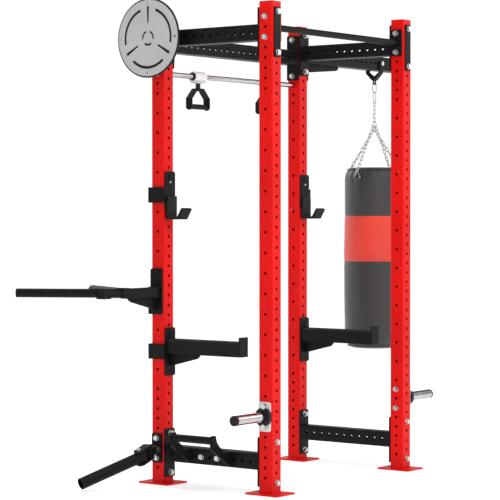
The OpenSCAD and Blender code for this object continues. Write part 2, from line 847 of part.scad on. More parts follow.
bush_flange_r = 21;
bush_flange_t = 3;
bush_r = 18;
slider_half = 45;
slider_r = 27;
base_top_z = slide_bar_z - slider_r - 2;
base_t = 4;
stem_r = 13;
frame_top_z = slide_bar_z - 60;
frame_t = 6;
frame_low_z = slide_bar_z - 172;
frame_w = 40;
frame_half = 76;
frame_neck = 26;
grip_z = slide_bar_z - 155;
grip_r = 14;
grip_rod_r = 6;

module at_slider(side) {
    in_frame() translate([side * slider_x, post_y, 0]) children();
}

module slider_bush(side) {
    at_slider(side) translate([0, 0, slide_bar_z]) difference() {
        union() {
            rod_x(-slider_half - bush_flange_t - 0.3, slider_half + bush_flange_t + 0.3, bush_r);
            for (sx = [-1, 1])
                translate([sx * (slider_half + bush_flange_t / 2 + 0.3), 0, 0])
                    rod_x(-bush_flange_t / 2, bush_flange_t / 2, bush_flange_r);
        }
        rod_x(-slider_half - 10, slider_half + 10, slide_bar_r + running);
    }
}

module slider(side) {
    at_slider(side) {
        difference() {
            union() {
                translate([0, 0, slide_bar_z]) rod_x(-slider_half, slider_half, slider_r);
                translate([-slider_half + 5, -10, base_top_z - 1]) cube([2 * slider_half - 10, 20, slider_r]);
            }
            translate([0, 0, slide_bar_z]) rod_x(-slider_half - 1, slider_half + 1, bush_r + running);
        }
        translate([0, 0, base_top_z - base_t]) linear_extrude(base_t) rounded_rect(2 * slider_half, 50, 5);
        translate([0, 0, frame_top_z + 0.3]) cylinder(r = stem_r, h = base_top_z - base_t - frame_top_z);
        translate([0, 0, frame_top_z - frame_t - 8]) cylinder(r = grip_rod_r, h = frame_t + 9);
        translate([0, 0, frame_top_z - frame_t - 8]) cylinder(r = 10, h = 7.7);
    }
}

module frame_outline() {
    difference() {
        polygon([[-frame_neck, frame_top_z], [frame_neck, frame_top_z], [frame_half, frame_top_z - 52],
                 [frame_half, frame_low_z], [-frame_half, frame_low_z], [-frame_half, frame_top_z - 52]]);
        polygon([[-frame_neck + 2.5, frame_top_z - frame_t], [frame_neck - 2.5, frame_top_z - frame_t],
                 [frame_half - frame_t, frame_top_z - 54.5], [frame_half - frame_t, frame_low_z - 1],
                 [frame_t - frame_half, frame_low_z - 1], [frame_t - frame_half, frame_top_z - 54.5]]);
    }
}

module handle_frame(side) {
    at_slider(side) {
        difference() {
            translate([0, frame_w / 2, 0]) rotate([90, 0, 0]) linear_extrude(frame_w) frame_outline();
            translate([0, 0, frame_top_z - frame_t - 1]) cylinder(r = grip_rod_r + running, h = frame_t + 2);
            // the straps' lower corners are rounded
            for (sy = [-1, 1])
                translate([0, sy * frame_w / 2, frame_low_z]) rotate([sy * 45, 0, 0])
                    cube([200, 16, 16], center = true);
        }
        translate([0, 0, grip_z]) rod_x(-frame_half - 2, frame_half + 2, grip_rod_r);
        for (sx = [-1, 1])
            translate([sx * (frame_half + 1.5), 0, grip_z]) rod_x(-1.5, 1.5, 10);
    }
}

module handle_grip(side) {
    reach = frame_half - frame_t - 0.5;
    at_slider(side) translate([0, 0, grip_z]) difference() {
        rod_x(-reach, reach, grip_r);
        rod_x(-reach - 1, reach + 1, grip_rod_r + running);
    }
}

module slider_bush_left() {
    color("dimgray") slider_bush(-1);
}

module slider_bush_right() {
    color("dimgray") slider_bush(1);
}

module slider_left() {
    color("whitesmoke") slider(-1);
}

module slider_right() {
    color("whitesmoke") slider(1);
}

module handle_frame_left() {
    color("dimgray") handle_frame(-1);
}

module handle_frame_right() {
    color("dimgray") handle_frame(1);
}

module handle_grip_left() {
    color("black") handle_grip(-1);
}

module handle_grip_right() {
    color("black") handle_grip(1);
}

// ---------- pinned brackets ----------

bracket_gap = 4;
bracket_t = 8;
pin_r = hole_r - running;

// A bracket that wraps an upright: a front plate with the pin, a side plate and a return
// plate. The upright is at the origin, the front plate is on its -Y face and the side
// plate on its -X face. Heights are measured from the pin.
module wrap_bracket(top, low, side_top, side_low) {
    front = -half - bracket_gap;
    side = -half - bracket_gap;
    rear = half + bracket_gap;
    difference() {
        translate([-half + 2, front - bracket_t, low]) cube([tube - 4, bracket_t, top - low]);
        for (sx = [-1, 1], z = [top, low])
            translate([sx * (half - 2), 0, z]) rotate([0, 45, 0]) cube([12, 200, 12], center = true);
    }
    translate([side - bracket_t, front - bracket_t, side_low])
        cube([bracket_t, rear - front + 2 * bracket_t, side_top - side_low]);
    translate([side - bracket_t, front - bracket_t, side_low])
        cube([bracket_gap + bracket_t + 6, bracket_t, side_top - side_low]);
    translate([side - bracket_t, rear, side_low]) cube([bracket_t + 50, bracket_t, side_top - side_low]);
    rod_y(front - bracket_t - 4, half + 5, pin_r);
    rod_y(front - bracket_t - 4, front - bracket_t, 13);
}

// Places a bracket on the front face of a rear upright, mirrored on the right
module on_rear_post(side, z) {
    in_frame() translate([side * post_x, post_y, z]) mirror([side > 0 ? 1 : 0, 0, 0]) children();
}

cup_w = 70;
cup_front = -half - bracket_gap - bracket_t;
cup_depth = 72;
cup_floor_z = 1344 - cup_pin_z;
cup_t = 8;
cup_liner_t = 6;
cup_lip_rise = 52;
cup_lip_lean = 31;

// Side view of the cup: x runs forward from the bracket's face, y is the height
module cup_outline() {
    polygon([[0, cup_floor_z], [cup_depth + 9, cup_floor_z],
             [cup_depth + 9 + cup_lip_lean, cup_floor_z + cup_lip_rise],
             [cup_depth + 1 + cup_lip_lean, cup_floor_z + cup_lip_rise + 4],
             [cup_depth + 3, cup_floor_z + cup_t], [cup_t, cup_floor_z + cup_t],
             [cup_t, cup_floor_z + 118], [0, cup_floor_z + 118]]);
}

module cup_liner_outline() {
    low = cup_floor_z + cup_t;
    polygon([[cup_t, low], [cup_depth + 3, low],
             [cup_depth + 1 + cup_lip_lean, cup_floor_z + cup_lip_rise + 4],
             [cup_depth - 5 + cup_lip_lean, cup_floor_z + cup_lip_rise + 6],
             [cup_depth - 1, low + cup_liner_t], [cup_t + cup_liner_t, low + cup_liner_t],
             [cup_t + cup_liner_t, cup_floor_z + 118], [cup_t, cup_floor_z + 118]]);
}

module cup_extrude() {
    translate([-cup_w / 2, cup_front, 0]) rotate([90, 0, 90]) linear_extrude(cup_w) mirror([1, 0]) children();
}

module jcup(side) {
    on_rear_post(side, cup_pin_z) {
        wrap_bracket(29, -166, -51, -129);
        cup_extrude() cup_outline();
    }
}

module jcup_liner(side) {
    on_rear_post(side, cup_pin_z) {
        cup_extrude() cup_liner_outline();
    }
}

module jcup_left() {
    color("dimgray") jcup(-1);
}

module jcup_right() {
    color("dimgray") jcup(1);
}

module jcup_liner_left() {
    color("black") jcup_liner(-1);
}

module jcup_liner_right() {
    color("black") jcup_liner(1);
}

spotter_w = 66;
spotter_h = 66;
spotter_l = 460;
spotter_low = 664 - spotter_pin_z;
spotter_end_h = 98;
spotter_pad_t = 8;

module spotter(side) {
    on_rear_post(side, spotter_pin_z) {
        wrap_bracket(37, -207, -46, -123);
        difference() {
            translate([-spotter_w / 2, cup_front - spotter_l, spotter_low]) cube([spotter_w, spotter_l, spotter_h]);
            translate([-spotter_w / 2 + wall, cup_front - spotter_l - 1, spotter_low + wall])
                cube([spotter_w - 2 * wall, spotter_l + 1, spotter_h - 2 * wall]);
        }
        translate([-spotter_w / 2, cup_front - spotter_l - bracket_t, spotter_low])
            cube([spotter_w, bracket_t, spotter_end_h]);
        translate([-4, cup_front, spotter_low]) rotate([90, 0, 90]) linear_extrude(8)
            polygon([[0, 1], [0, -62], [-30, -58], [-175, -22], [-190, -8], [-190, 1]]);
    }
}

module spotter_pad(side) {
    on_rear_post(side, spotter_pin_z)
        translate([-spotter_w / 2, cup_front - spotter_l, spotter_low + spotter_h])
            cube([spotter_w, spotter_l, spotter_pad_t]);
}

module spotter_left() {
    color("dimgray") spotter(-1);
}

module spotter_right() {
    color("dimgray") spotter(1);
}

module spotter_pad_left() {
    color("black") spotter_pad(-1);
}

module spotter_pad_right() {
    color("black") spotter_pad(1);
}

// ---------- dip station ----------

// The bracket wraps the rear left upright from its outer face round the back
module dip_bracket() {
    color("dimgray") in_frame() translate([-post_x, post_y, dip_pin_z])
        rotate([0, 0, -90]) wrap_bracket(12, -221, -81, -220);
}

module dip_arm() {
    plate_x0 = -outer_x - bracket_gap - bracket_t;
    arm_low = dip_arm_z - dip_arm_size / 2;
    color("dimgray") in_frame() {
        difference() {
            translate([plate_x0 - dip_arm_l, post_y - dip_arm_size / 2, arm_low])
                cube([dip_arm_l, dip_arm_size, dip_arm_size]);
            translate([plate_x0 - dip_arm_l - 1, post_y - dip_arm_size / 2 + wall, arm_low + wall])
                cube([dip_arm_l + 1, dip_arm_size - 2 * wall, dip_arm_size - 2 * wall]);
        }
        translate([plate_x0, post_y + 4, arm_low]) rotate([90, 0, 0]) linear_extrude(8)
            polygon([[0, 1], [0, -66], [-195, -20], [-218, -8], [-218, 1]]);
        for (x = [dip_inner_x, dip_outer_x])
            translate([x - dip_block[0] / 2, post_y - dip_block[1] / 2, arm_low + 4]) cube(dip_block);
        translate([0, post_y, arm_low + 4 + dip_block[2] / 2])
            rod_x(dip_outer_x + dip_block[0] / 2 - 1, dip_inner_x - dip_block[0] / 2 + 1, 23);
    }
}

module dip_handles() {
    z = dip_arm_z - dip_arm_size / 2 + 4 + dip_block[2] / 2 + 3;
    root_cut = post_y + dip_block[1] / 2 + 0.2 - dip_root_y;
    color("dimgray") in_frame()
        for (side = [-1, 1])
            translate([side < 0 ? dip_outer_x : dip_inner_x, dip_root_y, z]) rotate([0, 0, -side * dip_splay])
                difference() {
                    rod_y(0, dip_l, dip_r);
                    translate([0, -20, 0]) rotate([0, 0, side * dip_splay])
                        translate([-60, -60, -60]) cube([120, 60 + 20 * cos(dip_splay) + root_cut, 120]);
                }
}

// ---------- what is drawn ----------

upright_front_left();
upright_front_right();
upright_rear_left();
upright_rear_right();
foot_plates();
upright_caps();
top_rail_left();
top_rail_right();
top_rail_rear();
bottom_rail_left();
bottom_rail_right();
rail_end_plates();
clamp_plates();
rail_bolts();
accessory_bolts();
pull_up_bar();
pull_up_bar_plates();
slide_bar();
horn_plates();
horn_tubes();
horn_collars();
horn_caps();
foot_bar();
foot_bar_fins();
target_face();
target_backing();
target_bracket();
bag_beam();
bag_beam_mount();
landmine_base();
landmine_yoke();
landmine_turning_pin();
landmine_sleeve();
slider_bush_left();
slider_bush_right();
slider_left();
slider_right();
handle_frame_left();
handle_frame_right();
handle_grip_left();
handle_grip_right();
bag_yoke();
snap_hook_upper();
snap_hook_lower();
bag_chains();
bag_rings();
bag_cover();
bag_band();
bag_filling();
dip_bracket();
dip_arm();
dip_handles();
jcup_left();
jcup_right();
jcup_liner_left();
jcup_liner_right();
spotter_left();
spotter_right();
spotter_pad_left();
spotter_pad_right();
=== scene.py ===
import json
import math

import bpy
from mathutils import Matrix, Vector, noise


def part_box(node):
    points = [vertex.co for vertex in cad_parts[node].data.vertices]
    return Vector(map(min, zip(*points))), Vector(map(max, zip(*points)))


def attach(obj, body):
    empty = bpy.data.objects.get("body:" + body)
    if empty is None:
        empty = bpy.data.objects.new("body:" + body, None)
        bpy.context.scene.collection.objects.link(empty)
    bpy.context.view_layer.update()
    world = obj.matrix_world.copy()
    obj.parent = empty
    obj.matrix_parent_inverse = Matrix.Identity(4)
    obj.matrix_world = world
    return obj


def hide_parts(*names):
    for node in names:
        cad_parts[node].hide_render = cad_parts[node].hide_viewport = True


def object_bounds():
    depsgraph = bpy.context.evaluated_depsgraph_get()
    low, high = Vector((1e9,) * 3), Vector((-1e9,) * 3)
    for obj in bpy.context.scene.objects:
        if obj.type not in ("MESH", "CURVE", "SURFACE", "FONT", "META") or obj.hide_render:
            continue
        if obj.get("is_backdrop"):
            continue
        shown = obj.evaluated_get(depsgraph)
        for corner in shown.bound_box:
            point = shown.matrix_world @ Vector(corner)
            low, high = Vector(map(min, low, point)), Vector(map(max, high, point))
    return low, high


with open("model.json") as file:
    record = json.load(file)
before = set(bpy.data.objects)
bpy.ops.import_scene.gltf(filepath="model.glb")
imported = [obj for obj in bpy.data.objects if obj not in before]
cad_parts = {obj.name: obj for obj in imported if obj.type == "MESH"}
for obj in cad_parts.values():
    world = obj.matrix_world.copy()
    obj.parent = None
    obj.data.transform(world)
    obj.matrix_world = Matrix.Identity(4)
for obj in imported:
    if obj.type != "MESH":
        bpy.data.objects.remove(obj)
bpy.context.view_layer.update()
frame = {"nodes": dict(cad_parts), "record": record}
NODES = frame["nodes"]
RECORD = frame["record"]
FULL_TURN = 2 * math.pi


# ---------- materials ----------

def node(tree, kind, inputs=None, **settings):
    """A new shader node; an input that is a socket is linked and any other is set."""
    made = tree.nodes.new(kind)
    for key, value in settings.items():
        setattr(made, key, value)
    for key, value in (inputs or {}).items():
        if isinstance(value, bpy.types.NodeSocket):
            tree.links.new(value, made.inputs[key])
        else:
            made.inputs[key].default_value = value
    return made


def blend_colour(tree, factor, first, second):
    mix = node(tree, "ShaderNodeMix", data_type="RGBA")
    for socket, value in ((mix.inputs[0], factor), (mix.inputs[6], first), (mix.inputs[7], second)):
        if isinstance(value, bpy.types.NodeSocket):
            tree.links.new(value, socket)
        else:
            socket.default_value = value
    return mix.outputs[2]


def spread(tree, value, low, high, out_low=0.0, out_high=1.0):
    """Maps low..high to out_low..out_high, clamped."""
    return node(tree, "ShaderNodeMapRange", {
        "Value": value, "From Min": low, "From Max": high, "To Min": out_low, "To Max": out_high,
    }).outputs["Result"]


def patchy(tree, value, out_low=0.0, out_high=1.0):
    """A noise field stretched so that its patches use the whole range."""
    return spread(tree, value, 0.3, 0.7, out_low, out_high)


def times(tree, first, second):
    return node(tree, "ShaderNodeMath", {0: first, 1: second}, operation="MULTIPLY").outputs[0]


def noise_field(tree, place, scale, detail=3.0, rough=0.5):
    return node(tree, "ShaderNodeTexNoise", {
        "Vector": place, "Scale": scale, "Detail": detail, "Roughness": rough,
    }).outputs["Fac"]


def rgb(colour, gain=1.0):
    return (colour[0] * gain, colour[1] * gain, colour[2] * gain, 1.0)


def shader(name, rough, metallic=0.0, specular=0.5, sheen=0.0):
    """A new material with its tree, its shader and the piece's own coordinates."""
    material = bpy.data.materials.new(name)
    material.use_nodes = True
    tree = material.node_tree
    tree.nodes.clear()
    out = tree.nodes.new("ShaderNodeOutputMaterial")
    bsdf = node(tree, "ShaderNodeBsdfPrincipled", {
        "Roughness": rough, "Metallic": metallic, "Specular IOR Level": specular, "Sheen Weight": sheen,
    })
    tree.links.new(bsdf.outputs[0], out.inputs[0])
    place = tree.nodes.new("ShaderNodeTexCoord").outputs["Object"]
    return material, tree, bsdf, place


def bump(tree, bsdf, layers):
    """Stacks height fields, each (field, depth in metres), on the shader's normal."""
    normal = None
    for field, depth in layers:
        made = node(tree, "ShaderNodeBump", {"Height": field, "Distance": depth, "Strength": 1.0})
        if normal is not None:
            tree.links.new(normal, made.inputs["Normal"])
        normal = made.outputs["Normal"]
    tree.links.new(normal, bsdf.inputs["Normal"])


PRIMER_GREY = 0.35      # what shows through where the coat is rubbed


def coated(name, colour, rough, specular, grain, grain_depth, scuff):
    """Powder coat: an even colour with slow shifts, a fine pimpled skin and pale rubbed specks."""
    material, tree, bsdf, place = shader(name, rough, specular=specular)
    slow = noise_field(tree, place, 2.2, 2.0)
    base = blend_colour(tree, patchy(tree, slow), rgb(colour, 0.9), rgb(colour, 1.1))
    rub = noise_field(tree, place, 55.0, 5.0, 0.7)
    where = spread(tree, noise_field(tree, place, 6.0, 3.0), 0.58, 0.7)
    amount = times(tree, spread(tree, rub, 0.6, 0.68), where)
    scuffed = tuple(c + (PRIMER_GREY - c) * scuff for c in colour)
    tree.links.new(blend_colour(tree, amount, base, rgb(scuffed)), bsdf.inputs["Base Color"])
    dust = noise_field(tree, place, 14.0, 4.0)
    tree.links.new(patchy(tree, dust, rough - 0.06, rough + 0.08), bsdf.inputs["Roughness"])
    bump(tree, bsdf, [(noise_field(tree, place, grain, 2.0), grain_depth)])
    return material


def bare_metal(name, colour, rough, streaks, tint=None):
    """Plated or polished steel with fine streaks and faint tarnish."""
    material, tree, bsdf, place = shader(name, rough, metallic=1.0)
    stretched = node(tree, "ShaderNodeMapping", {"Vector": place, "Scale": streaks}).outputs["Vector"]
    line = noise_field(tree, stretched, 60.0, 4.0, 0.6)
    cloud = noise_field(tree, place, 18.0, 3.0)
    base = blend_colour(tree, spread(tree, cloud, 0.35, 0.7), rgb(colour), rgb(tint or colour, 0.9))
    tree.links.new(base, bsdf.inputs["Base Color"])
    tree.links.new(patchy(tree, line, rough * 0.75, rough * 1.35), bsdf.inputs["Roughness"])
    bump(tree, bsdf, [(line, 0.00002)])
    return material


def moulded(name, colour, rough, specular, grain=420.0, depth=0.00008):
    """Moulded plastic or rubber with a fine spark-eroded grain."""
    material, tree, bsdf, place = shader(name, rough, specular=specular)
    slow = noise_field(tree, place, 9.0, 3.0)
    tree.links.new(blend_colour(tree, patchy(tree, slow), rgb(colour, 0.85), rgb(colour, 1.2)),
                   bsdf.inputs["Base Color"])
    tree.links.new(patchy(tree, noise_field(tree, place, 30.0), rough - 0.05, rough + 0.07),
                   bsdf.inputs["Roughness"])
    bump(tree, bsdf, [(noise_field(tree, place, grain, 2.0), depth)])
    return material


def leather(name, colour, rough):
    """Grained hide: small rounded cells, creases between them with painted shade in them, and soft shine where it
    is rubbed.
    """
    material, tree, bsdf, place = shader(name, rough, specular=0.5, sheen=0.05)
    cells = node(tree, "ShaderNodeTexVoronoi", {"Vector": place, "Scale": 330.0, "Randomness": 0.9},
                 feature="DISTANCE_TO_EDGE").outputs["Distance"]
    crease = spread(tree, cells, 0.0, 0.18)
    long_fold = node(tree, "ShaderNodeMapping", {"Vector": place, "Scale": (1.0, 1.0, 0.35)}).outputs["Vector"]
    fold = noise_field(tree, long_fold, 16.0, 4.0, 0.55)
    slow = noise_field(tree, place, 4.0, 3.0)
    base = blend_colour(tree, patchy(tree, slow), rgb(colour, 0.85), rgb(colour, 1.15))
    # painted shade: the colour darkens towards the edges of the grain cells, in the creases between them
    base = blend_colour(tree, spread(tree, cells, 0.0, 0.1, 0.45, 0.0), base, rgb(colour, 0.35))
    tree.links.new(base, bsdf.inputs["Base Color"])
    tree.links.new(patchy(tree, slow, rough - 0.07, rough + 0.06), bsdf.inputs["Roughness"])
    bump(tree, bsdf, [(crease, 0.00025), (fold, 0.0012)])
    return material


def board(name, colour):
    """Printed board of the target: satin, with faint rings of scuffs about its middle."""
    material, tree, bsdf, place = shader(name, 0.5, specular=0.35)
    low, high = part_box("target_face")
    middle = (low + high) / 2
    centred = node(tree, "ShaderNodeMapping", {"Vector": place, "Location": tuple(-middle)}).outputs["Vector"]
    rings = node(tree, "ShaderNodeTexWave", {"Vector": centred, "Scale": 26.0, "Distortion": 3.0, "Detail": 3.0},
                 wave_type="RINGS", rings_direction="X").outputs["Fac"]
    slow = noise_field(tree, place, 7.0, 4.0)
    base = blend_colour(tree, patchy(tree, slow), rgb(colour, 0.95), rgb(colour, 1.04))
    base = blend_colour(tree, spread(tree, rings, 0.75, 1.0, 0.0, 0.12), base, rgb(colour, 0.8))
    tree.links.new(base, bsdf.inputs["Base Color"])
    tree.links.new(patchy(tree, slow, 0.42, 0.58), bsdf.inputs["Roughness"])
    bump(tree, bsdf, [(noise_field(tree, place, 500.0, 2.0), 0.00006), (rings, 0.00005)])
    return material


def thread(name, colour):
    """Twisted sewing thread, with painted shade in the grooves of its twist."""
    material, tree, bsdf, place = shader(name, 0.6, specular=0.3, sheen=0.4)
    twist = node(tree, "ShaderNodeTexWave", {"Vector": place, "Scale": 700.0, "Distortion": 2.0},
                 bands_direction="DIAGONAL").outputs["Fac"]
    # painted shade: the colour darkens with the twist's height, in the grooves between its strands
    tree.links.new(blend_colour(tree, twist, rgb(colour, 0.6), rgb(colour)), bsdf.inputs["Base Color"])
    bump(tree, bsdf, [(twist, 0.0003)])
    return material


def two_tone(name, upper, lower, height):
    """Satin coat that is one colour above a height and another below it."""
    material, tree, bsdf, place = shader(name, 0.36, specular=0.4)
    above = spread(tree, node(tree, "ShaderNodeSeparateXYZ", {"Vector": place}).outputs["Z"],
                   height - 0.0002, height + 0.0002)
    slow = noise_field(tree, place, 20.0, 3.0)
    top = blend_colour(tree, slow, rgb(upper, 0.95), rgb(upper, 1.03))
    tree.links.new(blend_colour(tree, above, blend_colour(tree, slow, rgb(lower, 0.8), rgb(lower, 1.3)), top),
                   bsdf.inputs["Base Color"])
    tree.links.new(patchy(tree, slow, 0.30, 0.42), bsdf.inputs["Roughness"])
    bump(tree, bsdf, [(noise_field(tree, place, 700.0, 2.0), 0.00006)])
    return material


MATERIALS = {
    "red_powder_coat": coated("red_coat", (0.69, 0.0035, 0.0025), 0.36, 0.12, 700.0, 0.00010, 0.35),
    "black_powder_coat": coated("black_coat", (0.0075, 0.0075, 0.008), 0.42, 0.10, 800.0, 0.00016, 0.25),
    "white_coat": coated("white_coat", (0.66, 0.66, 0.665), 0.34, 0.30, 700.0, 0.00008, 0.2),
    "zinc_fasteners": bare_metal("zinc", (0.58, 0.585, 0.60), 0.26, (1.0, 1.0, 1.0), (0.62, 0.60, 0.54)),
    "chrome": bare_metal("polished_bar", (0.50, 0.49, 0.49), 0.15, (0.04, 1.0, 1.0)),
    "black_plastic": moulded("black_plastic", (0.010, 0.010, 0.011), 0.48, 0.2),
    "black_rubber": moulded("black_rubber", (0.013, 0.013, 0.014), 0.62, 0.2, 300.0, 0.00014),
    "grey_board": board("target_board", (0.46, 0.46, 0.465)),
    "black_leather": leather("black_leather", (0.033, 0.031, 0.031), 0.36),
    "red_leather": leather("red_leather", (0.78, 0.045, 0.020), 0.36),
    "textile_fill": moulded("packed_textile", (0.45, 0.40, 0.33), 0.9, 0.1, 120.0, 0.0006),
}
THREAD_DARK = thread("thread_dark", (0.06, 0.058, 0.056))
THREAD_RED = thread("thread_red", (0.55, 0.07, 0.045))
SLIDER_WHITE = (0.78, 0.78, 0.79)
SLIDER_BLACK = (0.012, 0.012, 0.012)
SLIDER_BODY_H = 0.060       # the black neck starts this far below a slider's top

SLOT_OF = {part["node"]: part["material_slot"] for part in RECORD["subparts"]}
for name, obj in NODES.items():
    obj.data.materials.clear()
    obj.data.materials.append(MATERIALS[SLOT_OF[name]])

# the sliders' necks, below their white bodies, are black
neck_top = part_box("slider_left")[1].z - SLIDER_BODY_H
for side in ("left", "right"):
    NODES["slider_" + side].data.materials[0] = two_tone(
        "slider_coat_" + side, SLIDER_WHITE, SLIDER_BLACK, neck_top)


# ---------- mesh helpers ----------

def piece(name, points, faces, slot, body, material=None):
    """A new visible mesh with the material of a slot of the record, or with the material given, riding on a body.
    """
    mesh = bpy.data.meshes.new(name)
    mesh.from_pydata([tuple(p) for p in points], [], faces)
    mesh.validate()
    mesh.polygons.foreach_set("use_smooth", [True] * len(mesh.polygons))
    mesh.materials.append(material or MATERIALS[slot])
    made = bpy.data.objects.new(name, mesh)
    bpy.context.scene.collection.objects.link(made)
    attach(made, body)
    return made


def join(parts):
    """Several (points, faces) as one."""
    points, faces = [], []
    for part_points, part_faces in parts:
        start = len(points)
        points += part_points
        faces += [tuple(i + start for i in f) for f in part_faces]
    return points, faces


def loop_faces(loops, sides, closed=False):
    """Faces between loops of points that follow one another, with a cap at each end unless it is closed."""
    faces = []
    for i in range(loops if closed else loops - 1):
        j = (i + 1) % loops
        faces += [(i * sides + k, i * sides + (k + 1) % sides, j * sides + (k + 1) % sides, j * sides + k)
                  for k in range(sides)]
    if not closed:
        faces += [tuple(reversed(range(sides))), tuple(range((loops - 1) * sides, loops * sides))]
    return faces


DOME_LONG, DOME_THIN = 0.7, 0.6     # the last loop of an open wire's end, as shares of its radius


def wire(path, radius, closed=False, sides=12):
    """Round wire along a path, with domed ends where it is open."""
    count = len(path)
    points = []
    ahead = [((path[(i + 1) % count] if closed or i + 1 < count else path[i])
              - (path[i - 1] if closed or i else path[i])).normalized() for i in range(count)]
    across = ahead[0].orthogonal().normalized()
    rings = []
    for i, here in enumerate(path):
        across = (across - ahead[i] * across.dot(ahead[i])).normalized()
        rings.append((here, ahead[i], across, radius))
    if not closed:
        first, last = rings[0], rings[-1]
        rings = [(first[0] - first[1] * radius * DOME_LONG, first[1], first[2], radius * DOME_THIN)] + rings
        rings.append((last[0] + last[1] * radius * DOME_LONG, last[1], last[2], radius * DOME_THIN))
    for here, way, across, size in rings:
        other = way.cross(across)
        points += [here + (across * math.cos(a) + other * math.sin(a)) * size
                   for a in (FULL_TURN * k / sides for k in range(sides))]
    return points, loop_faces(len(rings), sides, closed)


def turned(profile, steps, place):
    """A profile of (radius, height) turned about the local Z axis, then placed by a matrix."""
    points = [place @ Vector((r * math.cos(a), r * math.sin(a), h))
              for r, h in profile for a in (FULL_TURN * k / steps for k in range(steps))]
    return points, loop_faces(len(profile), steps)


# ---------- heavy bag ----------

bag_low, bag_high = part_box("bag_filling")
AXIS = Vector(((bag_low.x + bag_high.x) / 2, (bag_low.y + bag_high.y) / 2, 0.0))
cover_low, cover_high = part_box("bag_cover")
BASE, TOP = cover_low.z, cover_high.z
COVER_OUT = 0.0043                  # the cover's thickness, with its gap over the filling
RADIUS = (bag_high.x - bag_low.x) / 2 + COVER_OUT
SWELL_MAX = 0.0038                  # keeps the skin inside the box of the CAD's cover
band_low, band_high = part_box("bag_band")
EDGE, EDGE_IN = 0.080, 0.052        # the rounded shoulders: height, and how far they reach in
CORNER_STEPS = 14
DISH = 0.010                        # how far the top disc sags at its middle
AROUND = 192
BAG_TURNS = [FULL_TURN * k / AROUND for k in range(AROUND)]


def bag_profile(rows=150):
    """(radius, height) up the bag: a flat base, rounded shoulders at both ends and a dished top."""
    corner = [(RADIUS - EDGE_IN + EDGE_IN * math.sin(t), BASE + EDGE - EDGE * math.cos(t))
              for t in (math.pi / 2 * k / CORNER_STEPS for k in range(CORNER_STEPS + 1))]
    line = [(0.001, BASE + 0.004), (RADIUS * 0.3, BASE + 0.003), (RADIUS * 0.6, BASE + 0.001)] + corner
    for k in range(1, rows):
        line.append((RADIUS, BASE + EDGE + (TOP - BASE - 2 * EDGE) * k / rows))
    line += [(r, BASE + TOP - h) for r, h in reversed(corner)]
    line += [(RADIUS * 0.6, TOP - 0.002), (RADIUS * 0.3, TOP), (0.001, TOP - 0.001)]
    return [(r, h - (DISH * (1 - min(r / RADIUS, 1)) if h > TOP - 0.003 else 0.0)) for r, h in line]


def swell(turn, height):
    """How far the filled cover stands off its cylinder: firmness, lumps, puckers at the ends, pinched seams."""
    share = (height - BASE) / (TOP - BASE)
    firm = 0.0022 * math.sin(math.pi * min(1.0, share * 1.25)) - 0.0012
    lumps = 0.0022 * noise.noise(Vector((math.cos(turn) * 1.4, math.sin(turn) * 1.4, height * 5.0)))
    ruck = 0.0
    for end in (BASE, TOP):
        near = math.exp(-((height - end) / 0.075) ** 2)
        ruck += near * 0.0042 * noise.noise(Vector((math.cos(turn) * 9, math.sin(turn) * 9, height * 9.0)))
        ruck += near * 0.0016 * noise.noise(Vector((math.cos(turn) * 24, math.sin(turn) * 24, height * 14.0)))
    pinch = 0.0
    for edge in (band_low.z, band_high.z):
        pinch -= 0.0016 * math.exp(-((height - edge) / 0.014) ** 2)
    return firm + lumps + ruck + pinch


def skin(turn, height):
    """Radius of the bag's side, with its swell."""
    return RADIUS + min(swell(turn, height), SWELL_MAX)


def about_bag(turn, radius, height):
    """The point at an angle, radius and height about the bag's axis."""
    return AXIS + Vector((radius * math.cos(turn), radius * math.sin(turn), height))


def bag_surface(turn, radius, height):
    grow = swell(turn, height) * min(1.0, radius / RADIUS) ** 2
    return about_bag(turn, min(radius + grow, RADIUS + SWELL_MAX), height)


profile = bag_profile()
shell_points = [bag_surface(turn, r, h) for r, h in profile for turn in BAG_TURNS]
shell = piece("bag_shell", shell_points, loop_faces(len(profile), AROUND), "black_leather", "bag")
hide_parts("bag_cover", "bag_filling")

# the coloured panel, sewn on over the cover, with folded edges
PANEL_ROWS = 44
PANEL_EDGE, PANEL_OUT, PANEL_UNDER = 0.0004, 0.0016, -0.0012
heights = [band_low.z + (band_high.z - band_low.z) * i / PANEL_ROWS for i in range(PANEL_ROWS + 1)]
outside = [(PANEL_EDGE if i in (0, PANEL_ROWS) else PANEL_OUT, height) for i, height in enumerate(heights)]
inside = [(PANEL_UNDER, height) for height in reversed(heights)]
panel_points = [about_bag(turn, skin(turn, height) + lift, height)
                for lift, height in outside + inside for turn in BAG_TURNS]
band = piece("bag_panel", panel_points, loop_faces(2 * len(heights), AROUND, closed=True), "red_leather", "bag")
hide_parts("bag_band")


def stitch(middle, along, outward, length=0.0042, width=0.0011):
    """One stitch: a short bead that dips into the leather at both ends."""
    side = along.cross(outward)
    sunk = 0.0004
    points = []
    for share, lift in ((-0.5, -0.0003), (-0.25, 0.0006), (0.25, 0.0006), (0.5, -0.0003)):
        centre = middle + along * (length * share)
        points += [centre + side * (width / 2) - outward * sunk, centre + outward * lift,
                   centre - side * (width / 2) - outward * sunk]
    return points, loop_faces(4, 3)


UP = Vector((0, 0, 1))
STITCH_OUT = PANEL_OUT + 0.0002
STITCHES_AROUND = 180
rings = []
for height in (band_low.z + 0.006, band_low.z + 0.014, band_high.z - 0.006, band_high.z - 0.014):
    for k in range(STITCHES_AROUND):
        turn = FULL_TURN * k / STITCHES_AROUND
        outward = Vector((math.cos(turn), math.sin(turn), 0))
        along = Vector((-math.sin(turn), math.cos(turn), 0))
        rings.append(stitch(AXIS + outward * (skin(turn, height) + STITCH_OUT) + UP * height, along, outward))
piece("panel_stitching", *join(rings), "red_leather", "bag", THREAD_RED)

